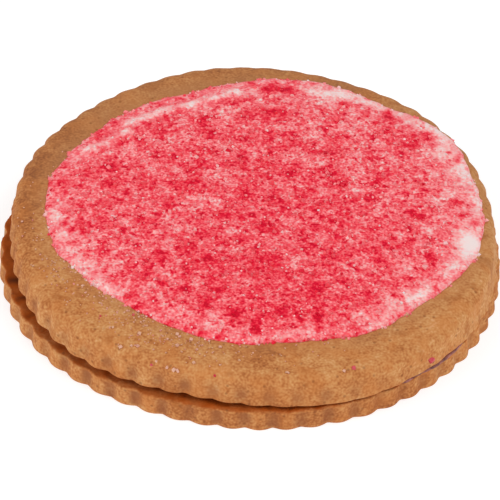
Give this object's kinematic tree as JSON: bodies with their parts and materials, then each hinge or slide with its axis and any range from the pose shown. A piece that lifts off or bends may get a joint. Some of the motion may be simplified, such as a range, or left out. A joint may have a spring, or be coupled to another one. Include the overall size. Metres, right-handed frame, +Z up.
{
  "type": "belgian biscuit",
  "caption": "Round sandwich biscuit with a fluted edge, a thin jam layer between its two halves, and an iced top covered with jelly crystals.",
  "frame": {"origin": "middle of the flat underside of the lower biscuit", "axes": "+Z up through the biscuit's thickness, -Y to the front, +X to the right"},
  "size_m": [0.0851, 0.0849, 0.0141],
  "materials": {
    "baked_dough": "matte, fine-grained and slightly porous",
    "jam": "dull gloss",
    "icing": "granular, sugary, with small glints"
  },
  "bodies": {
    "root": {"lower_biscuit": "baked_dough", "jam": "jam", "upper_biscuit": "baked_dough", "icing": "icing"}
  },
  "joints": []
}
